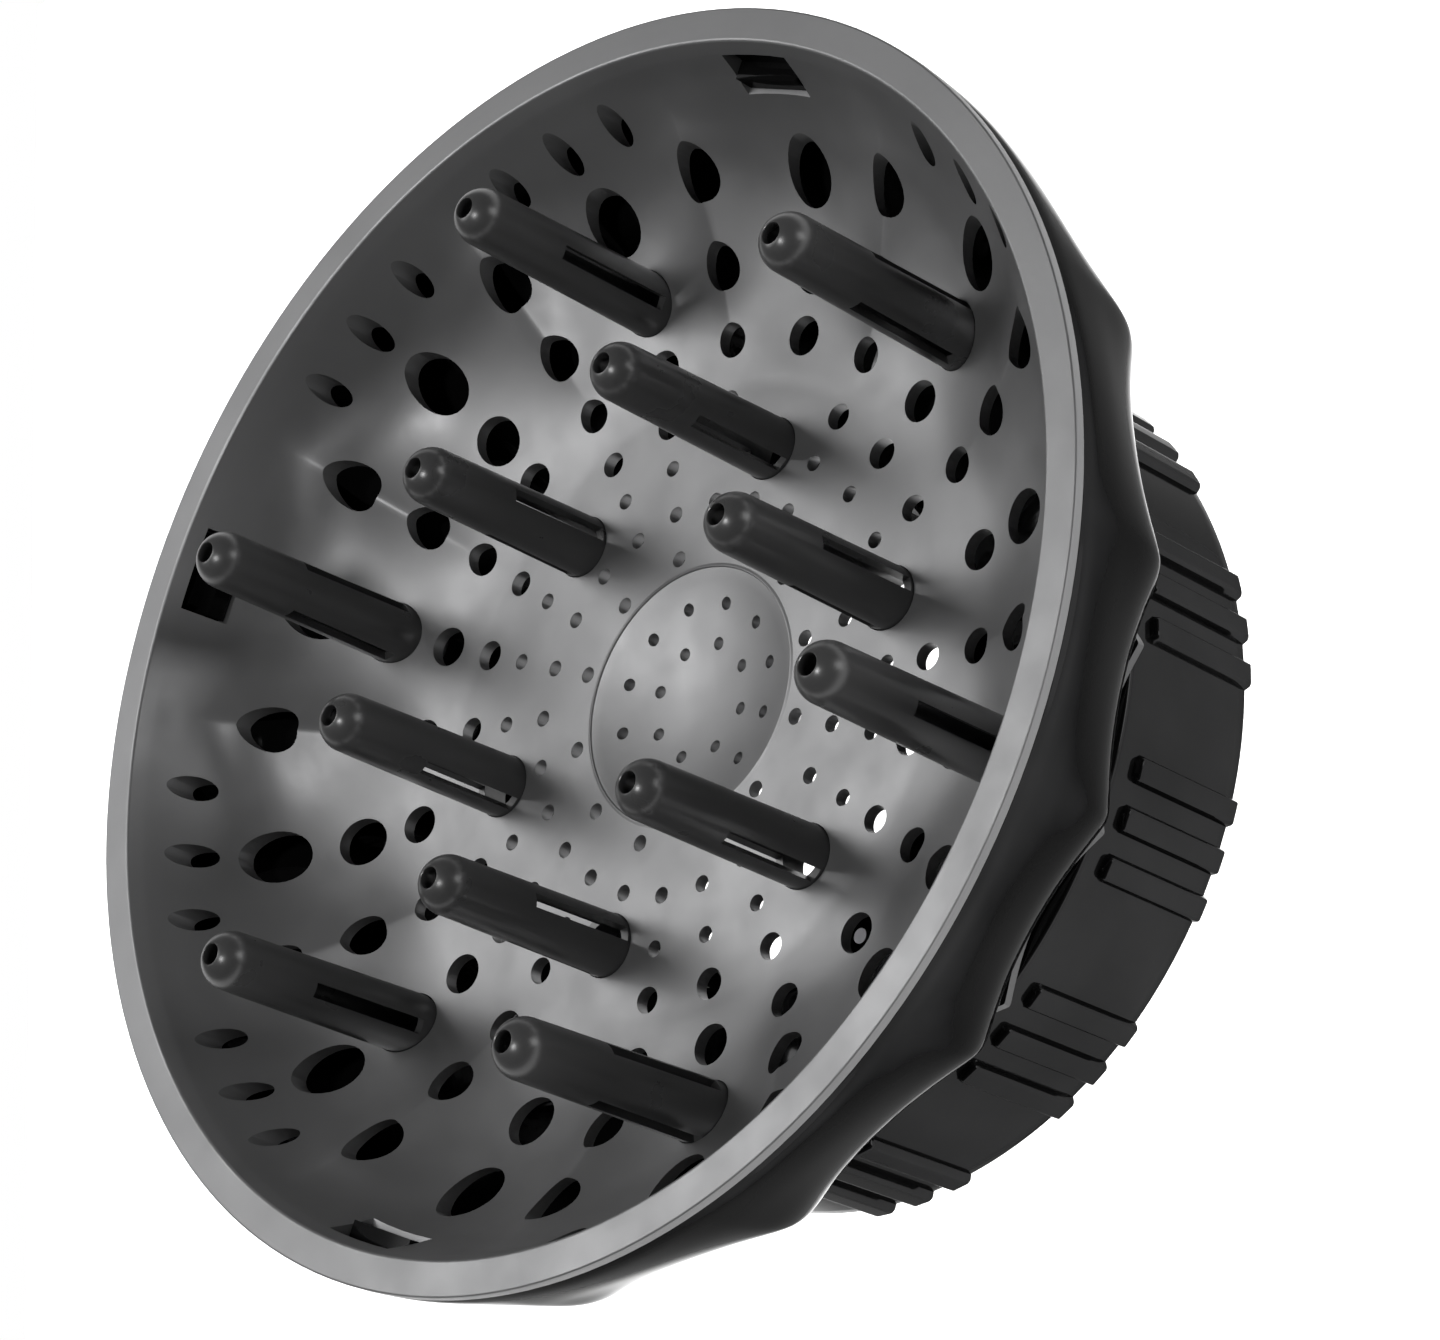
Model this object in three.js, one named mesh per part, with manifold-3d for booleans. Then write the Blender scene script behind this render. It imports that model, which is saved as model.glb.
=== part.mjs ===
// Hair dryer diffuser: a perforated bowl with twelve hollow prongs, a scooped outer housing that snaps
// onto it, and a twist collar that closes six jaws on the dryer's nozzle.
// Millimetres. +Z points out of the bowl, the origin is the middle of the collar's rear edge, and an
// outer prong stands on +X. Run as an ES module with the npm packages three and manifold-3d.
import * as THREE from "three";
import { mergeVertices } from "three/addons/utils/BufferGeometryUtils.js";
import Module from "manifold-3d";

const wasm = await Module();
wasm.setup();

// ---- driving dimensions ----
const RIM_R = 82.5; // outer radius of the bowl's flat rim
const RIM_Z = 65; // height of the rim's face above the rear edge
const RIM_INNER_R = 78;
const FLANGE = 1.3; // thickness of the rim flange
const WALL = 1.8; // the bowl's wall
const GAP = 0.3; // clearance between neighbouring pieces
const LOBES = 12; // petals pressed into the bowl
const FLOOR_Z = -25.6; // bowl floor below the rim face
const DISH_R = 17.2; // shallow hollow in the middle of the floor
const DISH_Z = -28.2;
const BOWL_OUTSIDE_R = 79.2; // behind the rim flange
const BOWL_CUT_Z = [-34, 2]; // reach of the cutters that go through the bowl

const PRONG_TIP_R = 3.8;
const PRONG_FOOT_R = 4.15;
const PRONG_WALL = 1.1;
const PRONG_TIP_HOLE_R = 1.35;
const PRONG_FLANGE_R = 5.3; // collar behind the bowl that holds the prong in
const PRONG_FLANGE_H = 1.2;
const PRONG_SLOT_BELOW_TIP = 14.6;
const PRONG_SLOT_W = 1.9;
const PRONG_SLOT_ABOVE_FOOT = 0.4;
const PRONGS = [
  { kind: "outer", r: 57.4, from: 0, tip: 10.9, foot: -22.4, flange: -27 },
  { kind: "inner", r: 33.2, from: 30, tip: 5.3, foot: -25.6, flange: -27.8 },
];
const PRONGS_PER_RING = 6;

const WINDOW_FROM = 60; // first snap window, degrees from +X
const WINDOWS = 4;
const WINDOW_W = 11.5;
const WINDOW_TOP = -2.2;
const WINDOW_BOTTOM = -8.4;
const WINDOW_SPAN = [70, 81.2]; // radii that a window cuts through
const HOOK_SPAN = [77.4, 80.9]; // radii that a snap hook fills in it

const SCOOPS = 16; // hollow facets round the housing
const HOUSING_REAR_Z = 23.4;
const HOUSING_WALL = 2;
const HUB_R = 55; // the collar turns on this hub
const HUB_Z = 21.2;

const COLLAR_R = 57.7;
const COLLAR_BORE_R = 55.4;
const COLLAR_TOP_Z = 23;
const SCROLL_R = 41.5; // inner edge of the scroll plate inside the collar
const SCROLL_Z = [18.2, 20.8];
const RIB_GROUPS = 12;
const RIB_PITCH = 6.18; // degrees between the three ribs of a group
const RIB_OFFSET = -1;
const RIB_W = 3;
const RIB_H = 1.1;
const RIB_TOP_Z = 19.3;

const JAWS = 6;
const THROAT_R = 34.6;
const PIVOT_R = 45;
const JAW_Z = [3.9, 14.8];
const JAW_TURN = 34; // degrees, open to closed
const COLLAR_TURN = 50; // degrees of collar for the same travel
const DRIVE_ARM = 8; // drive pin to jaw pivot
const DRIVE_FROM = -85; // direction of the arm with the jaws open
const DRIVE_PIN_R = 1.6;
const PIVOT_PIN_R = 2;
const JAW_INNER_R = 35.6;
const JAW_FINGER_END = 38.6; // degrees round from the pivot
const JAW_FINGER_R = 41.6; // outer radius at the finger's end
const JAW_PIVOT_BOSS_R = 4.6;
const JAW_DRIVE_BOSS_R = 3;
const PAD_AT = { r: 38.2, angle: 44.5, radius: 3.4 };
const PAD_SEAT = 39.2; // degrees, where the pad meets the finger
const CARRIER_Z = [15.2, 17.8];
const CARRIER_R = 55;
const COVER_Z = [0.9, 3.3];
const SCREW_R = 38; // circle of the screws that hold the carrier to the housing
const CARRIER_SCREWS = 4;
const CARRIER_SCREW_FROM = 22.5;
const BOSS_R = 2.9;
const BOSS_H = 8;
const PILOT_R = 1.6;
const PILOT_H = 6.6;
const SCREW_HEAD_R = 2.2;
const SCREW_SHANK_R = 1;
const SCREW_SINK_R = 2.6; // recess round a screw's head
const SCREW_PASS_R = 1.3; // hole that a cover screw passes through

// ---- materials ----
const plastic = (color, roughness) => new THREE.MeshStandardMaterial({ color, roughness, metalness: 0 });
const bowlGrey = plastic(0x6f6f70, 0.5);
const prongBlack = plastic(0x242425, 0.38);
const glossBlack = plastic(0x111112, 0.12);
const collarBlack = plastic(0x18181a, 0.25);
const nylonGrey = plastic(0x3a3a3c, 0.55);
const rubberBlack = plastic(0x0d0d0d, 0.85);
const steel = new THREE.MeshStandardMaterial({ color: 0xb4b4b8, roughness: 0.3, metalness: 1 });

// ---- small helpers ----
const rad = THREE.MathUtils.degToRad;
const range = (n) => Array.from({ length: n }, (_, i) => i);
const polar = (r, deg) => new THREE.Vector2(r * Math.cos(rad(deg)), r * Math.sin(rad(deg)));

function solid(geometry) {
  const bare = geometry.index ? geometry.toNonIndexed() : geometry.clone();
  bare.deleteAttribute("normal");
  bare.deleteAttribute("uv");
  const merged = mergeVertices(bare, 1e-4);
  return new wasm.Manifold(
    new wasm.Mesh({
      numProp: 3,
      vertProperties: merged.attributes.position.array,
      triVerts: new Uint32Array(merged.index.array),
    }),
  );
}

function geometryOf(manifold) {
  const mesh = manifold.getMesh();
  const geometry = new THREE.BufferGeometry();
  geometry.setAttribute("position", new THREE.BufferAttribute(mesh.vertProperties, 3));
  geometry.setIndex(new THREE.BufferAttribute(mesh.triVerts, 1));
  const flat = geometry.toNonIndexed();
  flat.computeVertexNormals();
  return flat;
}

function cutAll(body, tools) {
  return tools.reduce((rest, tool) => rest.subtract(tool), body);
}

function joinAll(body, extras) {
  return extras.reduce((sum, extra) => sum.add(extra), body);
}

// A body turned about +Z from [radius, height] points, listed counter-clockwise in the r-z plane. A profile
// that doesn't start on the axis is closed on itself.
function turned(points, segments) {
  const profile = points.map(([r, z]) => new THREE.Vector2(r, z));
  if (profile[0].x > 0) profile.push(profile[0].clone());
  return new THREE.LatheGeometry(profile, segments).rotateX(Math.PI / 2);
}

// An upright prism of a shape between two heights.
function prism(shape, [low, high], curveSegments = 6) {
  const settings = { depth: high - low, bevelEnabled: false, curveSegments };
  return new THREE.ExtrudeGeometry(shape, settings).translate(0, 0, low);
}

// An upright round bar.
function bar(radius, [low, high], sides, x = 0, y = 0) {
  const cylinder = new THREE.CylinderGeometry(radius, radius, high - low, sides).rotateX(Math.PI / 2);
  return cylinder.translate(x, y, (low + high) / 2);
}

// A stadium-ended slot of constant half width along a path of points.
function slotShape(path, halfWidth, endSteps = 4) {
  const outline = [];
  const side = (points) => {
    points.forEach((point, i) => {
      const before = points[Math.max(i - 1, 0)];
      const after = points[Math.min(i + 1, points.length - 1)];
      const along = after.clone().sub(before).normalize();
      outline.push(new THREE.Vector2(point.x + along.y * halfWidth, point.y - along.x * halfWidth));
    });
    const end = points[points.length - 1];
    const along = end.clone().sub(points[points.length - 2]).normalize();
    for (let step = 1; step < endSteps; step++) {
      const turn = -Math.PI / 2 + (Math.PI * step) / endSteps;
      const out = along.clone().rotateAround(new THREE.Vector2(), turn).multiplyScalar(halfWidth);
      outline.push(end.clone().add(out));
    }
  };
  side(path);
  side([...path].reverse());
  return new THREE.Shape(outline);
}

const root = new THREE.Group();

function place(name, geometry, material, parent = root) {
  const mesh = new THREE.Mesh(geometry, material);
  mesh.name = name;
  parent.add(mesh);
  return mesh;
}

// ---- bowl ----
// Height of the bowl's inner surface along the middle of a lobe, below the rim face.
const BOWL_SECTION = new THREE.SplineCurve([
  new THREE.Vector2(42, FLOOR_Z),
  new THREE.Vector2(50, -24.9),
  new THREE.Vector2(57, -23),
  new THREE.Vector2(63, -20.5),
  new THREE.Vector2(68, -17.2),
  new THREE.Vector2(72.2, -12.4),
  new THREE.Vector2(75.3, -6.6),
  new THREE.Vector2(77.2, -1.8),
]);
const BOWL_ROWS = 6;
const BOWL_SEGMENTS = LOBES * 4;
const CREASE_LIFT = 3.6; // how far a crease stands above the lobes beside it
const CREASE_FULL_R = 67;

// Share of the crease's height at a radius: none on the floor, full on the wall, none at the rim.
function creaseShare(r) {
  const rise = THREE.MathUtils.smoothstep(r, 43, CREASE_FULL_R);
  const fall = 1 - THREE.MathUtils.smoothstep(r, CREASE_FULL_R + 3, RIM_INNER_R - 1);
  return rise * fall;
}

// Lifts the points between lobes, so that a turned bowl becomes a petalled one.
function pressLobes(geometry) {
  const position = geometry.attributes.position;
  for (let i = 0; i < position.count; i++) {
    const x = position.getX(i);
    const y = position.getY(i);
    const lobe = (THREE.MathUtils.radToDeg(Math.atan2(y, x)) * LOBES) / 360;
    const across = 2 * (lobe - Math.round(lobe));
    const lift = CREASE_LIFT * creaseShare(Math.hypot(x, y)) * across * across;
    position.setZ(i, position.getZ(i) + lift);
  }
  return geometry;
}

function bowlShell() {
  const inside = BOWL_SECTION.getPoints(BOWL_ROWS).map((p) => [p.x, p.y]);
  const outside = inside.map(([r, z]) => {
    const steep = THREE.MathUtils.smoothstep(r, 55, RIM_INNER_R - 3);
    return [Math.min(r + WALL * steep, BOWL_OUTSIDE_R), z - WALL * (1 - 0.6 * steep)];
  });
  outside[outside.length - 1] = [BOWL_OUTSIDE_R, -FLANGE];
  const dishShare = 0.62;
  const dishDepth = (FLOOR_Z - DISH_Z) * (1 - dishShare * dishShare);
  const profile = [
    [0, DISH_Z - WALL],
    [DISH_R - 1, DISH_Z - WALL],
    [DISH_R + 1.4, FLOOR_Z - WALL],
    ...outside,
    [RIM_R, -FLANGE],
    [RIM_R, 0],
    [RIM_INNER_R, 0],
    ...inside.reverse(),
    [DISH_R, FLOOR_Z],
    [DISH_R * dishShare, FLOOR_Z - dishDepth],
    [0, DISH_Z],
  ];
  return solid(pressLobes(turned(profile, BOWL_SEGMENTS)));
}

// Vent holes: circle radius, hole radius, first angle, pitch in degrees and how many.
const VENTS = [
  { r: 7.6, hole: 0.85, from: 15, pitch: 45, count: 8, sides: 4 },
  { r: 12.7, hole: 0.85, from: 0, pitch: 30, count: 12, sides: 4 },
  { r: 19.7, hole: 1.1, from: 0, pitch: 30, count: 12, sides: 4 },
  { r: 26.3, hole: 1.1, from: 0, pitch: 15, count: 24, sides: 4 },
  { r: 33.2, hole: 1.1, from: 15, pitch: 30, count: 12, sides: 4 },
  { r: 33.2, hole: 1.1, from: 0, pitch: 60, count: 6, sides: 4 },
  { r: 39.8, hole: 1.75, from: 15, pitch: 30, count: 12, sides: 5 },
  { r: 39.8, hole: 2.05, from: 0, pitch: 60, count: 6, sides: 5 },
  { r: 48.2, hole: 2.25, from: 15, pitch: 30, count: 12, sides: 5 },
  { r: 48, hole: 2.7, from: 0, pitch: 60, count: 6, sides: 5 },
  { r: 48.3, hole: 2.6, from: 30, pitch: 60, count: 6, sides: 5 },
  { r: 57.1, hole: 2.85, from: 15, pitch: 30, count: 12, sides: 5 },
  { r: 56.9, hole: 3.35, from: 30, pitch: 60, count: 6, sides: 6 },
  { r: 67.5, hole: 3.8, from: 0, pitch: 30, count: 12, sides: 6 },
  { r: 67.5, hole: 3.2, from: 15, pitch: 30, count: 12, sides: 5 },
];
const RIM_VENT = { r: 74.4, hole: 1.7, step: 7.5, sides: 4 };

const isWindowLobe = (degrees) => (degrees - WINDOW_FROM + 720) % (360 / WINDOWS) === 0;

function ventCutters() {
  const cutters = [];
  for (const { r, hole, from, pitch, count, sides } of VENTS)
    for (const i of range(count)) {
      const at = polar(r, from + pitch * i);
      cutters.push(solid(bar(hole, BOWL_CUT_Z, sides, at.x, at.y)));
    }
  for (const lobe of range(LOBES)) {
    const middle = (360 / LOBES) * lobe;
    if (isWindowLobe(middle)) continue;
    for (const side of [-1, 0, 1]) {
      const at = polar(RIM_VENT.r, middle + side * RIM_VENT.step);
      cutters.push(solid(bar(RIM_VENT.hole, BOWL_CUT_Z, RIM_VENT.sides, at.x, at.y)));
    }
  }
  return cutters;
}

// A block that lies across the wall at a snap window's place.
function windowBlock(index, [rFrom, rTo], width, [low, high]) {
  const block = new THREE.BoxGeometry(rTo - rFrom, width, high - low);
  block.translate((rFrom + rTo) / 2, 0, (low + high) / 2);
  return block.rotateZ(rad(WINDOW_FROM + (360 / WINDOWS) * index));
}

function prongSeats() {
  const sides = 8;
  const radius = (PRONG_FOOT_R + GAP) / Math.cos(Math.PI / sides);
  return PRONGS.flatMap(({ r, from }) =>
    range(PRONGS_PER_RING).map((i) => {
      const at = polar(r, from + 60 * i);
      return solid(bar(radius, BOWL_CUT_Z, sides, at.x, at.y));
    }),
  );
}

function bowl() {
  const windows = range(WINDOWS).map((i) =>
    solid(windowBlock(i, WINDOW_SPAN, WINDOW_W, [WINDOW_BOTTOM, WINDOW_TOP])),
  );
  const cut = cutAll(bowlShell(), [...ventCutters(), ...prongSeats(), ...windows]);
  return geometryOf(cut.translate([0, 0, RIM_Z]));
}

// ---- prongs ----
// A hollow prong about its own axis. It is pushed through the bowl from behind, up to its flange, and
// has three slots from its foot upwards and a small hole in its domed tip.
function prong(tipZ, footZ, flangeZ) {
  const domeSteps = 3;
  const domeEnd = Math.acos(PRONG_TIP_HOLE_R / PRONG_TIP_R);
  const domeFoot = tipZ - PRONG_TIP_R * Math.sin(domeEnd);
  const dome = range(domeSteps + 1).map((i) => {
    const turn = (domeEnd * i) / domeSteps;
    return [PRONG_TIP_R * Math.cos(turn), domeFoot + PRONG_TIP_R * Math.sin(turn)];
  });
  const bore = PRONG_FOOT_R - PRONG_WALL;
  const profile = [
    [bore, flangeZ - PRONG_FLANGE_H],
    [PRONG_FLANGE_R, flangeZ - PRONG_FLANGE_H],
    [PRONG_FLANGE_R, flangeZ],
    [PRONG_FOOT_R, flangeZ],
    ...dome,
    [PRONG_TIP_HOLE_R, tipZ - PRONG_WALL],
    [PRONG_TIP_R - PRONG_WALL, domeFoot],
  ];
  const body = solid(turned(profile, 8));
  const slotLow = footZ + PRONG_SLOT_ABOVE_FOOT;
  const slotHeight = tipZ - PRONG_SLOT_BELOW_TIP - slotLow;
  const slots = range(3).map((i) => {
    const slot = new THREE.BoxGeometry(PRONG_FOOT_R * 2, PRONG_SLOT_W, slotHeight);
    slot.translate(PRONG_FOOT_R, 0, slotLow + slotHeight / 2);
    return solid(slot.rotateZ(rad(120 * i)));
  });
  return geometryOf(cutAll(body, slots));
}

function addProngs() {
  for (const { kind, r, from, tip, foot, flange } of PRONGS) {
    const geometry = prong(RIM_Z + tip, RIM_Z + foot, RIM_Z + flange);
    for (const i of range(PRONGS_PER_RING)) {
      const mesh = place(`${kind}_prong_${i + 1}`, geometry, prongBlack);
      const at = polar(r, from + 60 * i);
      mesh.position.set(at.x, at.y, 0);
      mesh.rotation.z = rad(from + 60 * i);
    }
  }
}

// ---- outer housing ----
// Corner profile of the housing from the lip under the rim to the rear edge, and how deep the scoops are
// there as a share of the radius (0.019 makes the facet flat, more makes it hollow).
const HOUSING_SECTION = [
  { r: 82.3, z: -1.6, scoop: 0 },
  { r: 82.3, z: -4.2, scoop: 0 },
  { r: 81.6, z: -10, scoop: 0.006 },
  { r: 80, z: -17, scoop: 0.017 },
  { r: 77.4, z: -22, scoop: 0.024 },
  { r: 72.6, z: -27, scoop: 0.034 },
  { r: 66.8, z: -32, scoop: 0.05 },
  { r: 62.4, z: -37, scoop: 0.062 },
  { r: 59.4, z: HOUSING_REAR_Z - RIM_Z, scoop: 0.068 },
];
const HOUSING_SEGMENTS = SCOOPS * 4;

// Depth share of the scoops at a height, between the rows of the section.
function scoopShare(z) {
  const rows = HOUSING_SECTION;
  const height = THREE.MathUtils.clamp(z, rows[rows.length - 1].z, rows[0].z);
  const next = Math.max(1, rows.findIndex((row) => row.z <= height));
  const [a, b] = [rows[next - 1], rows[next]];
  return THREE.MathUtils.mapLinear(height, a.z, b.z, a.scoop, b.scoop);
}

function pressScoops(geometry) {
  const position = geometry.attributes.position;
  for (let i = 0; i < position.count; i++) {
    const x = position.getX(i);
    const y = position.getY(i);
    if (Math.hypot(x, y) < HUB_R + 0.2) continue;
    const facet = (THREE.MathUtils.radToDeg(Math.atan2(y, x)) * SCOOPS) / 360;
    const across = 2 * (facet - Math.round(facet));
    const scale = 1 - scoopShare(position.getZ(i)) * (1 - across * across);
    position.setXY(i, x * scale, y * scale);
  }
  return geometry;
}

function housingShell() {
  const outer = HOUSING_SECTION.map(({ r, z }) => [r, z]).reverse();
  const innerRows = HOUSING_SECTION.filter((row, i) => i % 2 === 1);
  const inner = innerRows.map(({ r, z }) => [r - HOUSING_WALL, z + 0.9]);
  const hubZ = HUB_Z - RIM_Z;
  const rearZ = HOUSING_REAR_Z - RIM_Z;
  const profile = [
    [THROAT_R + 0.6, hubZ],
    [HUB_R, hubZ],
    [HUB_R, rearZ],
    ...outer,
    [80.3, -1.6],
    ...inner,
    [HUB_R - 0.5, rearZ + 2],
    [THROAT_R + 2.4, rearZ + 2],
    [THROAT_R + 1.2, rearZ + 5],
    [THROAT_R + 0.6, rearZ + 5],
  ];
  return solid(pressScoops(turned(profile, HOUSING_SEGMENTS)));
}

// A snap hook that springs from the housing's wall into a window of the bowl.
function snapHook(index) {
  return solid(windowBlock(index, HOOK_SPAN, WINDOW_W - 2, [WINDOW_BOTTOM + 0.9, WINDOW_TOP - 1.2]));
}

const screwAngle = (i) => CARRIER_SCREW_FROM + (360 / CARRIER_SCREWS) * i;

function housing() {
  const hooks = range(WINDOWS).map(snapHook);
  const foot = HUB_Z - RIM_Z;
  const bosses = range(CARRIER_SCREWS).map((i) => {
    const at = polar(SCREW_R, screwAngle(i));
    return solid(bar(BOSS_R, [foot, foot + BOSS_H], 10, at.x, at.y));
  });
  const pilots = range(CARRIER_SCREWS).map((i) => {
    const at = polar(SCREW_R, screwAngle(i));
    return solid(bar(PILOT_R, [foot - 1, foot + PILOT_H], 8, at.x, at.y));
  });
  const joined = joinAll(housingShell(), [...hooks, ...bosses]);
  return geometryOf(cutAll(joined, pilots).translate([0, 0, RIM_Z]));
}

// ---- twist collar ----
// Where a jaw's drive pin stands for a jaw turn, in the fixed frame, for the jaw whose pivot is on +X.
function drivePin(jawTurn) {
  return polar(DRIVE_ARM, DRIVE_FROM + jawTurn).add(new THREE.Vector2(PIVOT_R, 0));
}

// The same pin seen from the turning collar: the path that the scroll slot has to follow.
function scrollPath(steps) {
  const centre = new THREE.Vector2();
  return range(steps + 1).map((i) => {
    const share = -0.02 + (1.04 * i) / steps;
    return drivePin(JAW_TURN * share).rotateAround(centre, -rad(COLLAR_TURN * share));
  });
}

function rib(degrees) {
  const half = RIB_W / 2;
  const section = new THREE.Shape([
    new THREE.Vector2(COLLAR_R - 0.9, -half),
    new THREE.Vector2(COLLAR_R + RIB_H, -half + 0.5),
    new THREE.Vector2(COLLAR_R + RIB_H, half - 0.5),
    new THREE.Vector2(COLLAR_R - 0.9, half),
  ]);
  return solid(prism(section, [0.4, RIB_TOP_Z]).rotateZ(rad(degrees)));
}

function collar() {
  const [low, high] = SCROLL_Z;
  const profile = [
    [SCROLL_R, low],
    [COLLAR_BORE_R, low],
    [COLLAR_BORE_R, 0],
    [COLLAR_R - 0.6, 0],
    [COLLAR_R, 0.6],
    [COLLAR_R, COLLAR_TOP_Z - 0.4],
    [COLLAR_R - 0.4, COLLAR_TOP_Z],
    [COLLAR_BORE_R, COLLAR_TOP_Z],
    [COLLAR_BORE_R, high],
    [SCROLL_R, high],
  ];
  const ribs = range(RIB_GROUPS).flatMap((group) =>
    [-1, 0, 1].map((side) => rib(RIB_OFFSET + (360 / RIB_GROUPS) * group + RIB_PITCH * side)),
  );
  const slot = slotShape(scrollPath(8), DRIVE_PIN_R + 0.25);
  const slots = range(JAWS).map((i) => solid(prism(slot, [low - 1, high + 1]).rotateZ(rad(60 * i))));
  return geometryOf(cutAll(joinAll(solid(turned(profile, 48)), ribs), slots));
}

// ---- jaw carrier, jaws and cover ----
function carrier() {
  const [low, high] = CARRIER_Z;
  const profile = [
    [THROAT_R, low],
    [CARRIER_R, low],
    [CARRIER_R, high],
    [SCROLL_R - 0.4, high],
    [SCROLL_R - 0.4, HUB_Z - GAP],
    [THROAT_R, HUB_Z - GAP],
  ];
  const arc = range(5).map((i) => drivePin(JAW_TURN * (-0.03 + (1.06 * i) / 4)));
  const slot = slotShape(arc, DRIVE_PIN_R + 0.4, 3);
  const cutters = range(JAWS).flatMap((i) => {
    const at = polar(PIVOT_R, 60 * i);
    return [
      solid(prism(slot, [low - 1, high + 1]).rotateZ(rad(60 * i))),
      solid(bar(PIVOT_PIN_R + GAP, [low - 1, high + 1], 8, at.x, at.y)),
    ];
  });
  const screwHoles = range(CARRIER_SCREWS).flatMap((i) => {
    const at = polar(SCREW_R, screwAngle(i));
    return [
      solid(bar(SCREW_SINK_R + 0.2, [low - 1, low + 2.4], 8, at.x, at.y)),
      solid(bar(PILOT_R, [low, HUB_Z + 1], 8, at.x, at.y)),
    ];
  });
  return geometryOf(cutAll(solid(turned(profile, 30)), [...cutters, ...screwHoles]));
}

// Outline of a jaw whose pivot is on +X, open: a curved finger that ends at its rubber pad, and a tail
// round the drive pin.
function jawShape() {
  const pivot = new THREE.Vector2(PIVOT_R, 0);
  const pin = drivePin(0);
  const shape = new THREE.Shape();
  const lineTo = (r, degrees) => {
    const at = polar(r, degrees);
    shape.lineTo(at.x, at.y);
  };
  const start = polar(JAW_INNER_R, JAW_FINGER_END);
  shape.moveTo(start.x, start.y);
  for (const i of range(5)) lineTo(JAW_FINGER_R + 1.75 * i, JAW_FINGER_END - 7.8 * i);
  shape.absarc(pivot.x, pivot.y, JAW_PIVOT_BOSS_R, rad(35), rad(-20), true);
  shape.absarc(pin.x, pin.y, JAW_DRIVE_BOSS_R, rad(-10), rad(-190), true);
  lineTo(JAW_INNER_R + 4, -2);
  for (const degrees of [6, 14, 22, 30]) lineTo(JAW_INNER_R, degrees);
  shape.closePath();
  return shape;
}

function jaw() {
  const [low, high] = JAW_Z;
  const pin = drivePin(0);
  const body = solid(prism(jawShape(), JAW_Z, 3));
  const drive = solid(bar(DRIVE_PIN_R, [high - 2, SCROLL_Z[1] - 0.2], 8, pin.x, pin.y));
  const bore = solid(bar(PIVOT_PIN_R + GAP, [low - 1, high + 1], 8, PIVOT_R, 0));
  return geometryOf(body.add(drive).subtract(bore));
}

function jawPad() {
  const { r, angle, radius } = PAD_AT;
  const shape = new THREE.Shape();
  const centre = polar(r, angle);
  shape.absarc(centre.x, centre.y, radius, rad(angle - 50), rad(angle + 230), false);
  for (const seatR of [JAW_INNER_R, JAW_FINGER_R - 0.2]) {
    const at = polar(seatR, PAD_SEAT);
    shape.lineTo(at.x, at.y);
  }
  shape.closePath();
  return prism(shape, [JAW_Z[0] + 0.3, JAW_Z[1] - 0.3], 4);
}

// A hollow pin between cover and carrier, with a pilot hole for the cover's screw.
function pivotPin() {
  const [low, high] = [COVER_Z[1] + GAP, CARRIER_Z[1] - 0.1];
  const profile = [
    [0, high - 4],
    [SCREW_PASS_R, high - 4],
    [SCREW_PASS_R, low],
    [PIVOT_PIN_R, low],
    [PIVOT_PIN_R, high],
    [0, high],
  ];
  return turned(profile, 8);
}

function screw(headZ, headDown, length) {
  const profile = [
    [0, headZ - headDown],
    [SCREW_HEAD_R, headZ - headDown],
    [SCREW_HEAD_R, headZ],
    [SCREW_SHANK_R, headZ],
    [SCREW_SHANK_R, headZ + length],
    [0, headZ + length],
  ];
  const driver = new THREE.BoxGeometry(3, 0.8, 1).translate(0, 0, headZ - headDown);
  return geometryOf(solid(turned(profile, 8)).subtract(solid(driver)));
}

function cover() {
  const [low, high] = COVER_Z;
  const profile = [
    [THROAT_R, low + 0.8],
    [THROAT_R + 0.8, low],
    [CARRIER_R - 0.4, low],
    [CARRIER_R, low + 0.4],
    [CARRIER_R, high],
    [THROAT_R, high],
  ];
  const holes = range(JAWS).flatMap((i) => {
    const at = polar(PIVOT_R, 60 * i);
    return [
      solid(bar(SCREW_SINK_R, [low - 1, low + 1.3], 8, at.x, at.y)),
      solid(bar(SCREW_PASS_R, [low, high + 1], 6, at.x, at.y)),
    ];
  });
  return geometryOf(cutAll(solid(turned(profile, 30)), holes));
}

function addJaws() {
  const parts = { jaw: jaw(), pad: jawPad(), pin: pivotPin(), screw: screw(COVER_Z[0] + 1.1, 0.9, 6) };
  for (const i of range(JAWS)) {
    const station = new THREE.Group();
    station.rotation.z = rad(60 * i);
    root.add(station);
    place(`jaw_${i + 1}`, parts.jaw, nylonGrey, station);
    place(`jaw_pad_${i + 1}`, parts.pad, rubberBlack, station);
    place(`pivot_pin_${i + 1}`, parts.pin, steel, station).position.x = PIVOT_R;
    place(`cover_screw_${i + 1}`, parts.screw, steel, station).position.x = PIVOT_R;
  }
}

function addCarrierScrews() {
  const geometry = screw(CARRIER_Z[0] + 2.2, 1.9, 10);
  for (const i of range(CARRIER_SCREWS)) {
    const at = polar(SCREW_R, screwAngle(i));
    place(`carrier_screw_${i + 1}`, geometry, steel).position.set(at.x, at.y, 0);
  }
}

place("diffuser_bowl", bowl(), bowlGrey);
addProngs();
place("outer_housing", housing(), glossBlack);
place("twist_collar", collar(), collarBlack);
place("jaw_carrier", carrier(), nylonGrey);
place("rear_cover", cover(), collarBlack);
addJaws();
addCarrierScrews();

export default root;
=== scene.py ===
"""Looks of a hair dryer diffuser: petalled bowl with vents, hollow prongs, scooped gloss housing, ribbed
collar, and the jaws behind the rear cover.

Lengths are in millimetres in the part's frame until a mesh is made, and angles are in degrees from +X.
"""
import math

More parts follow.
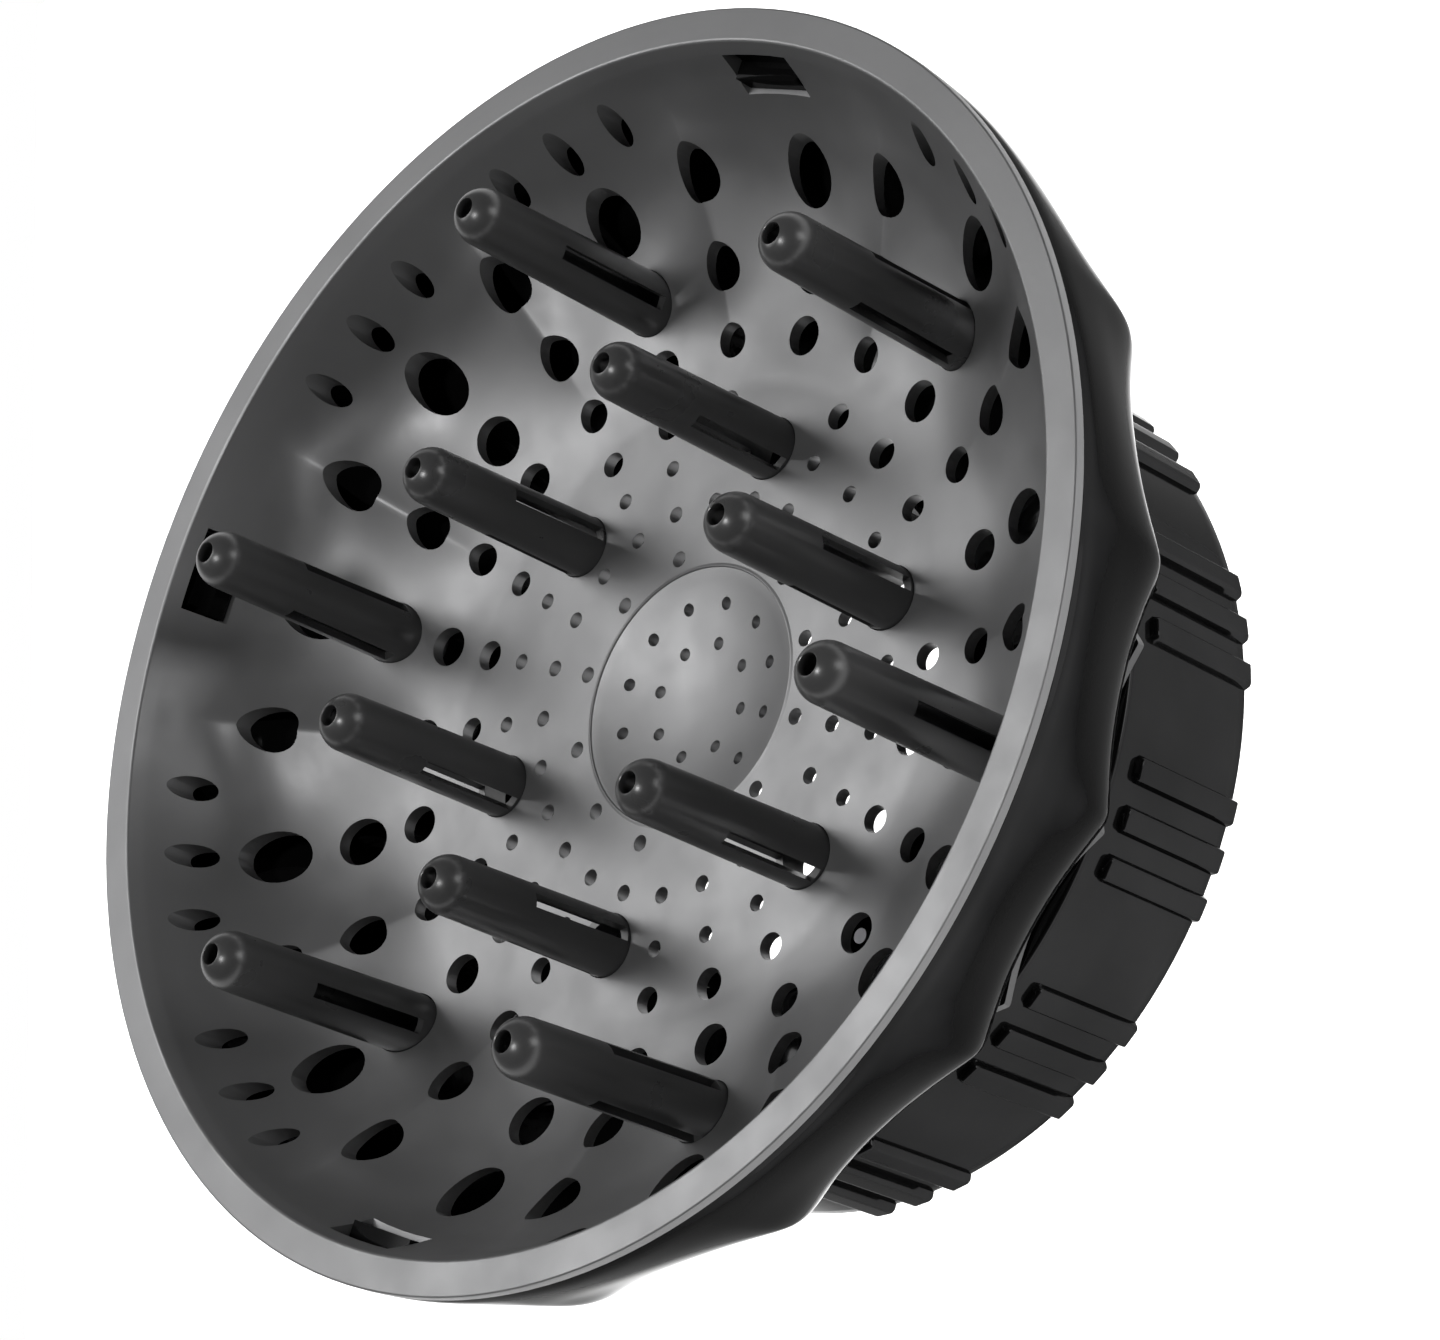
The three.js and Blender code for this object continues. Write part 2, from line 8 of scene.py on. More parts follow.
import bmesh
import bpy
from mathutils import Matrix, Vector
from mathutils.bvhtree import BVHTree
from mathutils.interpolate import poly_3d_calc


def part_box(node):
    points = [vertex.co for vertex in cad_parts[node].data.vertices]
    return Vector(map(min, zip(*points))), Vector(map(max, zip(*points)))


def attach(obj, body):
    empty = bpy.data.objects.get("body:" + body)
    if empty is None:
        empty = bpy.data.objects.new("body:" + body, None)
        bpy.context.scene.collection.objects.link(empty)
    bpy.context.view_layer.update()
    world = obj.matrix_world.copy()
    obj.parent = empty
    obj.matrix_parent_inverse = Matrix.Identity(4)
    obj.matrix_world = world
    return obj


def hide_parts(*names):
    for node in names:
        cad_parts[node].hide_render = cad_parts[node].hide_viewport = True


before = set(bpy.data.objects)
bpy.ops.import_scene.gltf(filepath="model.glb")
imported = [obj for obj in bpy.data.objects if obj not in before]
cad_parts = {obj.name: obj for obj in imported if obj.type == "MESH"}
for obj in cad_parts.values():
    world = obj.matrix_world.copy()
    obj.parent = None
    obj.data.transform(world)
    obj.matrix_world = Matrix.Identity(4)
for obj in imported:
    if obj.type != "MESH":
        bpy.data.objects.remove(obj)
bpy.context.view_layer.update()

MM = 0.001
TAU = 2 * math.pi


# ---- sizes that come from the frame ----
def top(node):
    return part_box(node)[1].z / MM


def bottom(node):
    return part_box(node)[0].z / MM


def reach(node):
    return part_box(node)[1].x / MM


RIM_Z = top("diffuser_bowl")
RIM_R = reach("diffuser_bowl")
HOUSING_REAR_Z = 23.4
HUB_Z = bottom("outer_housing")
COLLAR_TOP_Z = top("twist_collar")
COVER_Z = [bottom("rear_cover"), top("rear_cover")]
COVER_R = reach("rear_cover")
CARRIER_Z = [bottom("jaw_carrier"), top("jaw_carrier")]
JAW_Z = [bottom("jaw_1"), bottom("jaw_1") + 10.9]

# ---- sizes of the bowl ----
LOBES = 12
RIM_INNER_R = 78
RIM_FILLET = 0.5
FLANGE = 1.3
WALL = 1.8
FLOOR_Z = -25.6
DISH_R = 17.2
DISH_DEPTH = 2.6
DISH_LIP = 0.12
BOWL_OUTSIDE_R = 79.2
CUTTER_Z = [-34, 2]
BOWL_SECTION = [
    (42, FLOOR_Z), (50, -24.9), (57, -23), (63, -20.5),
    (68, -17.2), (72.2, -12.4), (75.3, -6.6), (77.2, -1.8),
]
CREASE_LIFT = 3.6
CREASE_SOFTNESS = 0.035
PETAL_COLUMNS = [0, 0.15, 0.3, 0.45, 0.59, 0.71, 0.81, 0.89, 0.945, 0.98, 1]
SCOOP_COLUMNS = [0, 0.12, 0.25, 0.38, 0.5, 0.62, 0.72, 0.81, 0.89, 0.945, 0.98, 1]
WINDOW_FROM = 60
WINDOWS = 4
WINDOW_W = 11.5
WINDOW_Z = [-8.4, -2.2]
WINDOW_SPAN = [70, 81.2]

# Vent circles: radius, hole radius, first angle, pitch and count.
VENTS = [
    (7.6, 0.85, 15, 45, 8),
    (12.7, 0.85, 0, 30, 12),
    (19.7, 1.1, 0, 30, 12),
    (26.3, 1.1, 0, 15, 24),
    (33.2, 1.1, 15, 30, 12),
    (33.2, 1.1, 0, 60, 6),
    (39.8, 1.75, 15, 30, 12),
    (39.8, 2.05, 0, 60, 6),
    (48.2, 2.25, 15, 30, 12),
    (48, 2.7, 0, 60, 6),
    (48.3, 2.6, 30, 60, 6),
    (57.1, 2.85, 15, 30, 12),
    (56.9, 3.35, 30, 60, 6),
    (67.5, 3.8, 0, 30, 12),
    (67.5, 3.2, 15, 30, 12),
]
RIM_VENT = {"r": 74.4, "hole": 1.7, "step": 7.5}

# ---- sizes of the prongs ----
PRONG = {
    "tip_r": 3.8, "foot_r": 4.15, "wall": 1.1, "flange_r": 5.3, "flange_h": 1.2, "hole": 1.35, "slot_w": 1.9,
    "slot_below_tip": 14.6, "slot_above_foot": 0.4, "seat_gap": 0.12,
}
PRONG_RINGS = [
    {"kind": "outer", "r": 57.4, "from": 0, "tip": 10.9, "foot": -22.4, "flange": -27},
    {"kind": "inner", "r": 33.2, "from": 30, "tip": 5.3, "foot": -25.6, "flange": -27.8},
]

# ---- sizes of the housing ----
SCOOPS = 16
HUB_R = 55
THROAT_R = 34.6
# Radius of the ridges, height below the rim's face, and depth of the scoops as a share of the radius.
HOUSING_SECTION = [
    (82.3, -1.6, 0),
    (82.3, -4.2, 0),
    (81.6, -10, 0.009),
    (80, -17, 0.026),
    (77.4, -22, 0.043),
    (72.6, -27, 0.059),
    (66.8, -32, 0.07),
    (62.4, -37, 0.071),
    (59.7, -40.3, 0.068),
]
REAR_BAND = 1.3
HOUSING_WALL = 2
INNER_RISE = 0.9
INNER_RIM_R = 80.3
HOOK_STEM_SPAN = [77.4, 80.9]
HOOK_NOSE_SPAN = [75, 78]

# ---- sizes of the collar ----
COLLAR_R = 57.7
COLLAR_BORE_R = 55.4
SCROLL_R = 41.5
SCROLL_Z = [18.2, 20.8]
RIB_GROUPS = 12
RIB_PITCH = 6.18
RIB_OFFSET = -1
RIB_W = 3
RIB_H = 1.1
RIB_Z = [0, 19.3]

# ---- sizes of the jaw mechanism ----
JAWS = 6
PIVOT_R = 45
DRIVE_ARM = 8
DRIVE_FROM = -85
CARRIER_SCREW_AT_R = 38
SCREW = {"head_r": 2.2, "edge": 0.35, "shank_r": 1.0, "recess_r": 2.6, "recess": 1.3, "hole_r": 1.3}
CROSS = {"half": 1.3, "width": 0.5, "depth": 0.55}
JAW_INNER_R = 35.6
JAW_OUTER_R = [41.6, 48.6]
JAW_TIP_ANGLE = 38.6
JAW_SWEEP = 31.2
PIVOT_BOSS_R = 4.6
PIVOT_BORE_R = 2.3
DRIVE_BOSS_R = 3
DRIVE_PIN_R = 1.6
PAD_AT = (38.2, 44.5)
PAD_R = 3.4
PAD_SEAT = [(35.6, 39.2), (41.4, 39.2)]


# ---- mathematics ----
def smoothstep(x, low, high):
    t = min(max((x - low) / (high - low), 0), 1)
    return t * t * (3 - 2 * t)


def soften(hollow, softness):
    """A share from 0 to 1 that leaves 0 gently, so that the crest there is rounded."""
    return (math.hypot(hollow, softness) - softness) / (math.hypot(1, softness) - softness)


def polar(r, degrees, z=0.0):
    a = math.radians(degrees)
    return (r * math.cos(a), r * math.sin(a), z)


def spline(points, steps):
    """Points of a Catmull-Rom curve through points, with that many steps between each two."""
    out = []
    for i in range(len(points) - 1):
        a, b, c, d = (points[min(max(i + k, 0), len(points) - 1)] for k in (-1, 0, 1, 2))
        for s in range(steps):
            t = s / steps
            out.append(tuple(
                0.5 * (2 * q + (r - p) * t + (2 * p - 5 * q + 4 * r - w) * t * t
                       + (3 * q - p - 3 * r + w) * t ** 3)
                for p, q, r, w in zip(a, b, c, d)
            ))
    return out + [tuple(points[-1])]


def arc(centre, radius, start, end, steps):
    """Points of an arc, in the radius-height plane or in plan."""
    turns = [math.radians(start + (end - start) * i / steps) for i in range(steps + 1)]
    return [(centre[0] + radius * math.cos(t), centre[1] + radius * math.sin(t)) for t in turns]


# ---- mesh helpers ----
def make(name, vertices, faces):
    mesh = bpy.data.meshes.new(name)
    mesh.from_pydata([tuple(c * MM for c in v) for v in vertices], [], faces)
    bm = bmesh.new()
    bm.from_mesh(mesh)
    bmesh.ops.remove_doubles(bm, verts=bm.verts, dist=1e-7)
    bmesh.ops.dissolve_degenerate(bm, edges=bm.edges, dist=1e-7)
    bmesh.ops.recalc_face_normals(bm, faces=bm.faces)
    bm.to_mesh(mesh)
    bm.free()
    obj = bpy.data.objects.new(name, mesh)
    bpy.context.scene.collection.objects.link(obj)
    return obj


def crested_angles(crests, shares):
    """Angles round a body with equal crests. shares run from 0 between two crests to 1 on a crest."""
    half = 180 / crests
    around = [-share for share in shares[:0:-1]] + list(shares[:-1])
    return [(2 * i + share) * half for i in range(crests) for share in around]


def ring_faces(rows, segments):
    """Faces of a closed body whose rows of points go round Z."""
    faces = []
    for row in range(rows):
        after = (row + 1) % rows
        for i in range(segments):
            j = (i + 1) % segments
            faces.append((row * segments + i, row * segments + j, after * segments + j, after * segments + i))
    return faces


def turned(name, profile, angles, shape=None):
    """A body turned about Z from (radius, height) points. shape moves a point (radius, angle, height)."""
    if isinstance(angles, int):
        angles = [360 * i / angles for i in range(angles)]
    vertices = []
    for r, z in profile:
        for angle in angles:
            rr, zz = shape(r, angle, z) if shape else (r, z)
            vertices.append(polar(rr, angle, zz))
    return make(name, vertices, ring_faces(len(profile), len(angles)))


def prism(name, outline, low, high):
    """An upright prism of an outline of (x, y) points."""
    n = len(outline)
    vertices = [(x, y, z) for z in (low, high) for x, y in outline]
    faces = [tuple(range(n))[::-1], tuple(range(n, 2 * n))]
    faces += [(i, (i + 1) % n, n + (i + 1) % n, n + i) for i in range(n)]
    return make(name, vertices, faces)


def drill(x, y, radius, low, high, sides=28):
    turns = [TAU * i / sides for i in range(sides)]
    outline = [(x + radius * math.cos(t), y + radius * math.sin(t)) for t in turns]
    return prism("drill", outline, low, high)


def join(objects, name):
    """One object with the meshes of several."""
    bm = bmesh.new()
    for obj in objects:
        part = obj.data.copy()
        part.transform(obj.matrix_world)
        bm.from_mesh(part)
        bpy.data.meshes.remove(part)
    mesh = bpy.data.meshes.new(name)
    bm.to_mesh(mesh)
    bm.free()
    for obj in objects:
        remove(obj)
    joined = bpy.data.objects.new(name, mesh)
    bpy.context.scene.collection.objects.link(joined)
    return joined


def remove(obj):
    mesh = obj.data
    bpy.data.objects.remove(obj)
    if mesh.users == 0:
        bpy.data.meshes.remove(mesh)


def bake_modifiers(obj):
    """Replaces obj's mesh with what its modifiers make of it."""
    bpy.context.view_layer.update()
    evaluated = obj.evaluated_get(bpy.context.evaluated_depsgraph_get())
    mesh = bpy.data.meshes.new_from_object(evaluated)
    old = obj.data
    obj.modifiers.clear()
    obj.data = mesh
    mesh.name = obj.name
    if old.users == 0:
        bpy.data.meshes.remove(old)
    return obj


def cut(obj, tools, operation="DIFFERENCE"):
    """Cuts the tools, which don't meet each other, from obj, or adds them to it."""
    tool = join(tools, "tool")
    modifier = obj.modifiers.new("cut", "BOOLEAN")
    modifier.operation = operation
    modifier.solver = "EXACT"
    modifier.object = tool
    bake_modifiers(obj)
    remove(tool)
    return obj


def bevel(obj, width, segments=2, angle=35):
    modifier = obj.modifiers.new("bevel", "BEVEL")
    modifier.width = width * MM
    modifier.segments = segments
    modifier.limit_method = "ANGLE"
    modifier.angle_limit = math.radians(angle)
    return bake_modifiers(obj)


def smooth(obj, angle=34):
    mesh = obj.data
    mesh.shade_smooth()
    mesh.set_sharp_from_angle(angle=math.radians(angle))
    return obj


def take_normals(piece, shell):
    """Gives piece, which was cut from shell, the shell's smooth normals where the surfaces agree."""
    source = smooth(shell, 40).data
    corners = source.corner_normals
    tree = BVHTree.FromPolygons([v.co for v in source.vertices], [list(f.vertices) for f in source.polygons])
    mesh = piece.data
    normals = [n.vector.copy() for n in mesh.corner_normals]
    for face in mesh.polygons:
        for loop in face.loop_indices:
            spot = mesh.vertices[mesh.loops[loop].vertex_index].co
            spot = spot.lerp(face.center, 0.02)
            place, normal, index, distance = tree.find_nearest(spot)
            if index is None or distance > 0.02 * MM or normal.dot(face.normal) < 0.97:
                continue
            near = source.polygons[index]
            weights = poly_3d_calc([source.vertices[v].co for v in near.vertices], place)
            blended = Vector()
            for weight, corner in zip(weights, near.loop_indices):
                blended += corners[corner].vector * weight
            normals[loop] = blended.normalized()
    mesh.normals_split_custom_set(normals)
    remove(shell)


def copies(obj, names, step, start=0.0):
    """obj turned about Z into one object for each name, each with its own mesh."""
    made = []
    for i, name in enumerate(names):
        mesh = obj.data.copy()
        mesh.name = name
        mesh.transform(Matrix.Rotation(math.radians(start + step * i), 4, "Z"))
        piece = bpy.data.objects.new(name, mesh)
        bpy.context.scene.collection.objects.link(piece)
        made.append(piece)
    remove(obj)
    return made


def finish_piece(obj, material, body, slot, *nodes, angle=34):
    obj.data.materials.clear()
    obj.data.materials.append(material)
    smooth(obj, angle)
    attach(obj, body)
    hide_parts(*nodes)
    return obj


# ---- materials ----
def moulded(name, colour, rough, spread=0.15, mottle=6.0, grain=900.0, bump=0.05, specular=0.5, metallic=0.0,
            edge=1.0):
    """Moulded plastic, rubber or plated steel: soft colour mottling, uneven gloss, and a fine grain."""
    material = bpy.data.materials.new(name)
    material.use_nodes = True
    nodes, links = material.node_tree.nodes, material.node_tree.links
    shader = nodes["Principled BSDF"]
    shader.inputs["Specular IOR Level"].default_value = specular
    shader.inputs["Metallic"].default_value = metallic
    shader.inputs["Specular Tint"].default_value = (edge, edge, edge, 1)
    place = nodes.new("ShaderNodeTexCoord").outputs["Object"]

    def noise(scale, detail):
        node = nodes.new("ShaderNodeTexNoise")
        node.inputs["Scale"].default_value = scale
        node.inputs["Detail"].default_value = detail
        links.new(place, node.inputs["Vector"])
        return node.outputs["Fac"]

    ramp = nodes.new("ShaderNodeValToRGB")
    for stop, share in zip(ramp.color_ramp.elements, (1 - spread, 1 + spread)):
        stop.color = (*(min(c * share, 1) for c in colour), 1)
    ramp.color_ramp.elements[0].position = 0.3
    ramp.color_ramp.elements[1].position = 0.7
    links.new(noise(mottle * 10, 4), ramp.inputs["Fac"])
    links.new(ramp.outputs["Color"], shader.inputs["Base Color"])

    gloss = nodes.new("ShaderNodeMapRange")
    gloss.inputs["From Min"].default_value = 0.3
    gloss.inputs["From Max"].default_value = 0.7
    gloss.inputs["To Min"].default_value = rough * 0.88
    gloss.inputs["To Max"].default_value = rough * 1.12
    links.new(noise(mottle * 22, 5), gloss.inputs["Value"])
    links.new(gloss.outputs["Result"], shader.inputs["Roughness"])

    texture = nodes.new("ShaderNodeBump")
    texture.inputs["Strength"].default_value = bump
    texture.inputs["Distance"].default_value = 0.0002
    links.new(noise(grain, 3), texture.inputs["Height"])
    links.new(texture.outputs["Normal"], shader.inputs["Normal"])
    return material


BOWL = moulded("bowl_satin_plastic", (0.3, 0.3, 0.304), 0.44, spread=0.04, bump=0.05, metallic=0.66)
PRONG_BLACK = moulded("prong_semi_gloss", (0.075, 0.075, 0.0755), 0.3, spread=0.08, bump=0.03, specular=0.9)
GLOSS = moulded("housing_polished_black", (0.032, 0.032, 0.0325), 0.06, spread=0.2, bump=0.008, grain=260,
                metallic=0.85, edge=0.12)
# A lighter grey copy of the housing's black for the rear band: a painted highlight where that edge catches
# light.
PAINTED_SHEEN_BAND = moulded("housing_painted_sheen_band", (0.17, 0.17, 0.172), 0.35, spread=0.08, bump=0.03)
COLLAR = moulded("collar_gloss_black", (0.036, 0.036, 0.0365), 0.1, spread=0.15, bump=0.015, grain=400,
                 metallic=0.8, edge=0.3)
NYLON = moulded("nylon_matte", (0.05, 0.05, 0.052), 0.55, spread=0.12, bump=0.2, specular=0.4)
RUBBER = moulded("pad_rubber", (0.012, 0.012, 0.012), 0.8, spread=0.2, bump=0.35, specular=0.3)
STEEL = moulded("zinc_plated_steel", (0.56, 0.56, 0.58), 0.3, spread=0.08, bump=0.08, metallic=1.0)


# ---- bowl ----
def crease_share(r):
    return smoothstep(r, 43, 67) * (1 - smoothstep(r, 70, 77))


def petal_lift(r, angle):
    """How far the surface stands above the middle of the petals, most in the creases between them."""
    lobe = angle * LOBES / 360
    across = 2 * abs(lobe - round(lobe))
    hollow = 1 - across * across
    return CREASE_LIFT * crease_share(r) * (1 - soften(hollow, CREASE_SOFTNESS))


def bowl_point(r, angle, z):
    return r, RIM_Z + z + petal_lift(r, angle)


def dish_profile():
    """The dish from its middle to its rounded edge on the floor."""
    sphere = (DISH_R ** 2 + DISH_DEPTH ** 2) / (2 * DISH_DEPTH)
    points = []
    for i in range(15):
        r = 0.02 + (DISH_R - 0.35) * i / 14
        points.append((r, FLOOR_Z - DISH_DEPTH + sphere - math.sqrt(sphere ** 2 - r ** 2)))
    edge = [(DISH_R - 0.12, FLOOR_Z - 0.06), (DISH_R + 0.02, FLOOR_Z + DISH_LIP)]
    edge += [(DISH_R + 0.2, FLOOR_Z + DISH_LIP), (DISH_R + 0.4, FLOOR_Z), (DISH_R + 0.45, FLOOR_Z)]
    return points + edge


def bowl_shell():
    wall = spline(BOWL_SECTION, 6)
    outside = []
    for r, z in wall:
        steep = smoothstep(r, 55, RIM_INNER_R - 3)
        outside.append((min(r + WALL * steep, BOWL_OUTSIDE_R), z - WALL * (1 - 0.6 * steep)))
    outside[-1] = (BOWL_OUTSIDE_R, -FLANGE)
    rim_edge = arc((RIM_R - 0.25, -0.25), 0.25, 0, 90, 4) + [(RIM_R - 0.29, 0)]
    fillet = [(RIM_INNER_R + RIM_FILLET - 0.1, 0)]
    fillet += arc((RIM_INNER_R + RIM_FILLET - 0.14, -RIM_FILLET), RIM_FILLET, 90, 165, 6)
    floor = [(DISH_R + 1 + 1.9 * i, FLOOR_Z) for i in range(13)]
    dish_under = FLOOR_Z - DISH_DEPTH - WALL
    profile = [(0.02, dish_under), (DISH_R - 1, dish_under), (DISH_R + 1.4, FLOOR_Z - WALL)]
    profile += outside + [(RIM_R, -FLANGE)] + rim_edge + fillet
    profile += wall[::-1] + floor[::-1] + dish_profile()[::-1]
    return turned("bowl_shell", profile, crested_angles(LOBES, PETAL_COLUMNS), bowl_point)


def is_window_lobe(angle):
    return (angle - WINDOW_FROM) % (360 // WINDOWS) == 0


def vent_tools():
    low, high = RIM_Z + CUTTER_Z[0], RIM_Z + CUTTER_Z[1]
    tools = []
    for r, hole, start, pitch, count in VENTS:
        for i in range(count):
            x, y, _ = polar(r, start + pitch * i)
            tools.append(drill(x, y, hole, low, high, 20 if hole < 1.5 else 32))
    for lobe in range(LOBES):
        angle = 360 // LOBES * lobe
        if is_window_lobe(angle):
            continue
        for side in (-1, 0, 1):
            x, y, _ = polar(RIM_VENT["r"], angle + side * RIM_VENT["step"])
            tools.append(drill(x, y, RIM_VENT["hole"], low, high))
    return tools


def seat_tools():
    """Round seats that the prongs pass through."""
    low, high = RIM_Z + CUTTER_Z[0], RIM_Z + CUTTER_Z[1]
    tools = []
    for ring in PRONG_RINGS:
        for i in range(6):
            x, y, _ = polar(ring["r"], ring["from"] + 60 * i)
            tools.append(drill(x, y, PRONG["foot_r"] + PRONG["seat_gap"], low, high, 40))
    return tools


def block(r_from, r_to, width, low, high, angle):
    half = width / 2
    obj = prism("block", [(r_from, -half), (r_to, -half), (r_to, half), (r_from, half)], low, high)
    obj.data.transform(Matrix.Rotation(math.radians(angle), 4, "Z"))
    return obj


def window_angles():
    return [WINDOW_FROM + 360 / WINDOWS * i for i in range(WINDOWS)]


def bowl():
    low, high = RIM_Z + WINDOW_Z[0], RIM_Z + WINDOW_Z[1]
    windows = [block(*WINDOW_SPAN, WINDOW_W, low, high, a) for a in window_angles()]
    shell = bowl_shell()
    piece = shell.copy()
    piece.data = shell.data.copy()
    piece.name = "bowl_fine"
    bpy.context.scene.collection.objects.link(piece)
    cut(piece, vent_tools() + seat_tools() + windows)
    finish_piece(piece, BOWL, "diffuser", "bowl_plastic", "diffuser_bowl", angle=40)
    take_normals(piece, shell)


# ---- prongs ----
def prong_body(ring):
    tip, foot, flange = RIM_Z + ring["tip"], RIM_Z + ring["foot"], RIM_Z + ring["flange"]
    r, hole = PRONG["tip_r"], PRONG["hole"]
    start = math.degrees(math.acos((hole + 0.22) / r))
    centre = tip - r * math.sin(math.radians(start))
    dome = arc((0, centre), r, 0, start, 14)
    lip = [(hole + 0.12, tip + 0.03), (hole + 0.03, tip - 0.02), (hole, tip - 0.12)]
    bore = PRONG["foot_r"] - PRONG["wall"]
    back = flange - PRONG["flange_h"]
    profile = [(bore, back), (PRONG["flange_r"], back), (PRONG["flange_r"], flange)]
    profile += [(PRONG["foot_r"], flange), (PRONG["foot_r"], foot)] + dome + lip
    profile += [(hole, tip - PRONG["wall"]), (r - PRONG["wall"], centre)]
    piece = turned("prong", profile, 48)
    slot_low, slot_high = foot + PRONG["slot_above_foot"], tip - PRONG["slot_below_tip"]
    slots = [block(0, PRONG["foot_r"] * 2, PRONG["slot_w"], slot_low, slot_high, 120 * i) for i in range(3)]
    cut(piece, slots)
    piece.data.transform(Matrix.Translation((ring["r"] * MM, 0, 0)))
    return piece


def prongs():
    for ring in PRONG_RINGS:
        names = [f"{ring['kind']}_prong_fine_{i + 1}" for i in range(6)]
        for i, piece in enumerate(copies(prong_body(ring), names, 60, ring["from"])):
            finish_piece(piece, PRONG_BLACK, "diffuser", "prong_plastic", f"{ring['kind']}_prong_{i + 1}")


# ---- housing ----
def scoop(r, angle, share, softness):
    """Draws the surface in between ridges, which are softly rounded."""
    facet = angle * SCOOPS / 360
    across = 2 * abs(facet - round(facet))
    hollow = 1 - across * across
    return r * (1 - share * soften(hollow, softness))


def housing_rows():
    """The outer surface's rows, with the rear band under the last of them."""
    rows = spline(HOUSING_SECTION, 5)
    rear = HOUSING_REAR_Z - RIM_Z
    last_r, _, share = rows[-1]
    band = [(last_r + 0.3, rear + REAR_BAND - 0.1), (last_r + 0.4, rear + 0.25), (last_r + 0.15, rear)]
    return rows + [(r, z, share) for r, z in band]


def housing_softness(z):
    """Ridges are broad under the rim and sharpen towards the rear edge."""
    return 0.03 + 0.2 * smoothstep(z, -40, -12)


def housing():
    rows = housing_rows()
    angles = crested_angles(SCOOPS, SCOOP_COLUMNS)
    rings = [(r, RIM_Z + z, share, housing_softness(z)) for r, z, share in rows]
    rings += [(HUB_R, HOUSING_REAR_Z, 0, 1), (HUB_R, HUB_Z, 0, 1), (THROAT_R + 0.9, HUB_Z, 0, 1)]
    rings += [(THROAT_R + 0.6, HUB_Z + 0.3, 0, 1), (THROAT_R + 0.6, HOUSING_REAR_Z + 5, 0, 1)]
    rings += [(THROAT_R + 1.2, HOUSING_REAR_Z + 5, 0, 1), (THROAT_R + 2.4, HOUSING_REAR_Z + 2, 0, 1)]
    rings += [(HUB_R - 0.5, HOUSING_REAR_Z + 2, 0, 1)]
    rings += [(r - HOUSING_WALL, RIM_Z + z + INNER_RISE, share, 0.4) for r, z, share in rows[-5:4:-4]]
    rings += [(INNER_RIM_R, RIM_Z - 4.2, 0, 1), (INNER_RIM_R, RIM_Z - 1.6, 0, 1)]
    vertices = []
    for r, z, share, softness in rings:
        for angle in angles:
            vertices.append(polar(scoop(r, angle, share, softness), angle, z))
    piece = make("housing_fine", vertices, ring_faces(len(rings), len(angles)))
    low, high = RIM_Z + WINDOW_Z[0], RIM_Z + WINDOW_Z[1]
    stems = [block(*HOOK_STEM_SPAN, WINDOW_W - 2, low + 0.9, high - 1.2, a) for a in window_angles()]
    noses = [block(*HOOK_NOSE_SPAN, WINDOW_W - 0.5, low + 0.15, high - 3.2, a) for a in window_angles()]
    cut(piece, stems, "UNION")
    cut(piece, noses, "UNION")
    finish_piece(piece, GLOSS, "diffuser", "housing_gloss", "outer_housing", angle=38)
    piece.data.materials.append(PAINTED_SHEEN_BAND)
    # The rear band's faces take the lighter second material, a painted highlight band along the rear edge.
    for face in piece.data.polygons:
        low, out = face.center.z / MM, math.hypot(face.center.x, face.center.y) / MM
        if low < HOUSING_REAR_Z + REAR_BAND and out > HUB_R + 0.1 and abs(face.normal.z) < 0.7:
            face.material_index = 1


# ---- collar ----
def rib_columns():
    """Angles of the collar's columns, closely spaced over the ribs' edges."""
    half = math.degrees(RIB_W / 2 / COLLAR_R)
    edge = [-1.18, -1.06, -0.98, -0.9, -0.8, -0.66, -0.3, 0.3, 0.66, 0.8, 0.9, 0.98, 1.06, 1.18]
    columns = []
    for group in range(RIB_GROUPS):
        middle = RIB_OFFSET + 360 / RIB_GROUPS * group
        for side in (-1, 0, 1):
            columns += [middle + RIB_PITCH * side + half * e for e in edge]
        gap_from = middle + RIB_PITCH + half * 1.18
        gap = 360 / RIB_GROUPS - 2 * RIB_PITCH - 2 * half * 1.18
        columns += [gap_from + gap * i / 8 for i in range(1, 8)]
    return columns


def rib_height(angle, z):
    """Height of the ribs over the collar: flat tops, rounded edges, and rounded front ends."""
    step = 360 / RIB_GROUPS
    from_group = (angle - RIB_OFFSET + step / 2) % step - step / 2
    nearest = min((-RIB_PITCH, 0, RIB_PITCH), key=lambda a: abs(from_group - a))
    x = abs(math.radians(from_group - nearest) * COLLAR_R) - RIB_W / 2
    y = z - RIB_Z[1]
    corner = 0.7
    beyond = math.hypot(max(x + corner, 0), max(y + corner, 0))
    outside = beyond + min(max(x + corner, y + corner), 0) - corner
    rise = min(max((0.16 - outside) / 0.5, 0), 1)
    return RIB_H * math.sqrt(1 - (1 - rise) ** 2)


